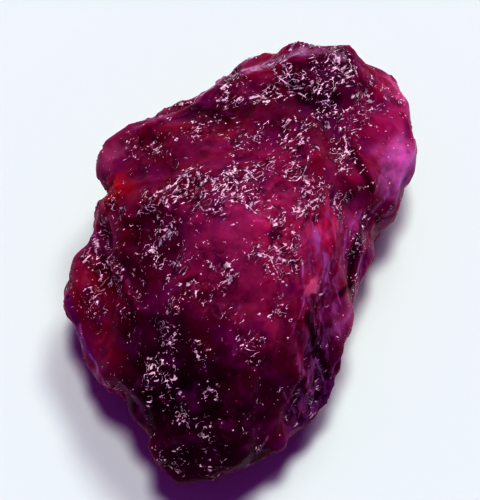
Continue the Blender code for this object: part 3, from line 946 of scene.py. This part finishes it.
# Painted shade: a dark rim around each glint stroke and grain, for the shaded side of its edge.
glint_shade_rims = crests.between(0.80, 0.92) * broken + (1 - dots.between(0.20, 0.36)) * dotted
glint_shade_rims = (glint_shade_rims + line_of("glint_strokes", 1.2, 2.6)) * etched.between(0.05, 0.4)
facets_and_glints = (etched.between(0.1, 0.9) * ETCHED_SHARE + glint_shade_rims + painted_glint).between(0.0, 1.0)
print("the rims take it to", len(paint.tree.nodes), "nodes")

# %% [markdown]
# ## Two shaders in one gem
#
# Between the facets the light goes into the stone and comes back out of it coloured, so that
# shader scatters under the skin, lets a share of the light through, and hardly reflects. The
# facets, with their painted glints and painted shade, are the other way round: glossy and closed.
# One shader can't be both, so there are two, mixed by how faceted the skin is and by the painted
# glints and their shaded rims.

# %% Finish the body of the gem
BERYL_IOR = 1.57
BODY_ROUGHNESS = 0.14
ROUGHER_CLOUDS = 0.20

body = paint.tree.nodes["Principled BSDF"]
finish = {
    "Base Color": colour,
    "Roughness": BODY_ROUGHNESS + ROUGHER_CLOUDS * clouds(0.8),
    "Normal": bump,
    "IOR": BERYL_IOR,
    "Specular IOR Level": 0.015,
    "Specular Tint": (0.75, 0.25, 0.85, 1),
    "Transmission Weight": 0.12,
    "Subsurface Weight": 1.0,
    "Subsurface Radius": (1.0, 0.15, 0.4),
    "Subsurface Scale": 0.0015,
}
for name, value in finish.items():
    paint.plug(body.inputs[name], value)
print("the body lets", finish["Transmission Weight"], "of the light through")

# %% Finish the facets and mix the two
FACET_SHADE = 0.52
FACET_ROUGHNESS = 0.14
ABSORPTION_DENSITY = 1200
ABSORPTION_COLOUR = (0.86, 0.05, 0.62, 1)

# Painted shade: under the glints the facets' colour is darkened towards black-red, for their shaded
# sides.
shade_under_the_glints = paint.mix(FACET_SHADE, colour, BLACK_RED)
facets = paint.node("ShaderNodeBsdfPrincipled", {}, {
    "Base Color": paint.mix(painted_glint, shade_under_the_glints, glint_colour),
    "Roughness": FACET_ROUGHNESS,
    "IOR": BERYL_IOR,
    "Specular IOR Level": 0.25,
    "Specular Tint": (1.0, 0.5, 0.72, 1),
    "Normal": bump,
}, out="BSDF")
both = {0: facets_and_glints, 1: Wire(paint, body.outputs["BSDF"]), 2: facets}
finished = paint.node("ShaderNodeMixShader", {}, both, out="Shader")
dye = {"Density": ABSORPTION_DENSITY, "Color": ABSORPTION_COLOUR}
absorption = paint.node("ShaderNodeVolumeAbsorption", {}, dye, out="Volume")
output = paint.tree.nodes["Material Output"]
paint.plug(output.inputs["Surface"], finished)
paint.plug(output.inputs["Volume"], absorption)
gem_mesh.materials.clear()
gem_mesh.materials.append(paint.painted)
print("the gem's material has", len(paint.tree.nodes), "nodes")

# %% [markdown]
# ## The studio
#
# The stone lies on a pale floor under three soft white lamps. The key lamp is nearly overhead and
# a little behind, so its shadow is short and falls towards the camera. The other two stand lower,
# behind on the right, and draw the wide faint shadow on the left. The surround is pale at the
# horizon, where it meets the floor, and dim violet above, which keeps the stone's colour deep and
# tints its shadow.

# %% Lay the floor
FLOOR_RADIUS = 1.5
PAPER = (0.805, 0.956, 0.824, 1)

floor_bmesh = bmesh.new()
bmesh.ops.create_circle(floor_bmesh, cap_ends=True, segments=96, radius=FLOOR_RADIUS)
floor_mesh = bpy.data.meshes.new("floor")
floor_bmesh.to_mesh(floor_mesh)
floor_bmesh.free()
floor = bpy.data.objects.new("floor", floor_mesh)
bpy.context.scene.collection.objects.link(floor)
paper = Paint(bpy.data.materials.new("paper"))
for name, value in {"Base Color": PAPER, "Roughness": 1, "Specular IOR Level": 0}.items():
    paper.plug(paper.tree.nodes["Principled BSDF"].inputs[name], value)
floor_mesh.materials.append(paper.painted)
print("the floor is", 2 * FLOOR_RADIUS, "m across")

# %% Hang the surround
PALE_AIR = (0.86, 0.88, 0.92)
DIM_AIR = (0.19, 0.037, 0.27)
PALE_TO = math.sin(math.radians(5))
DIM_FROM = math.sin(math.radians(10))

world = bpy.data.worlds.new("surround")
bpy.context.scene.world = world
air = Paint(world)
direction = air.node("ShaderNodeTexCoord", {}, {}, out="Generated")
skyward = air.node("ShaderNodeSeparateXYZ", {}, {"Vector": direction}, out="Z")
levels = {"Value": skyward, "From Min": PALE_TO, "From Max": DIM_FROM}
fade = air.node("ShaderNodeMapRange", {}, levels)
air.plug(air.tree.nodes["Background"].inputs["Color"], air.mix(fade, PALE_AIR, DIM_AIR))
print("the air dims between", round(PALE_TO, 3), "and", round(DIM_FROM, 3), "of the way up")

# %% Light the lamps
# Azimuth anticlockwise from the stone's right and elevation, in degrees, then the strength and
# the width in degrees.
LAMPS = {
    "key": (84, 78, 1.92, 12),
    "window": (58, 57, 0.92, 14),
    "back": (76, 53, 0.38, 16),
}


def from_around(azimuth, elevation):
    """The direction of a lamp as seen from the stone."""
    turn = math.radians(azimuth)
    lift = math.radians(elevation)
    level = math.cos(lift)
    return Vector((math.cos(turn) * level, math.sin(turn) * level, math.sin(lift)))


for name, (azimuth, elevation, strength, width) in LAMPS.items():
    lamp_data = bpy.data.lights.new(name, "SUN")
    lamp_data.energy = strength
    lamp_data.angle = math.radians(width)
    lamp = bpy.data.objects.new(name, lamp_data)
    lamp.rotation_euler = from_around(azimuth, elevation).to_track_quat("Z", "Y").to_euler()
    bpy.context.scene.collection.objects.link(lamp)
print(len(LAMPS), "lamps are lit")

# %% Set the view
# The contrast of a print on paper, with the darkest tones let down to black.
PRINT_CONTRAST = 1.5
PRINT_BLACK = 0.02

view = bpy.context.scene.view_settings
view.view_transform = "Standard"
view.gamma = 1 / PRINT_CONTRAST
view.use_curve_mapping = True
view.curve_mapping.black_level = (PRINT_BLACK,) * 3
view.curve_mapping.update()
print("the view's gamma is", round(view.gamma, 2))

# %% Hand over the scene
bpy.context.view_layer.update()
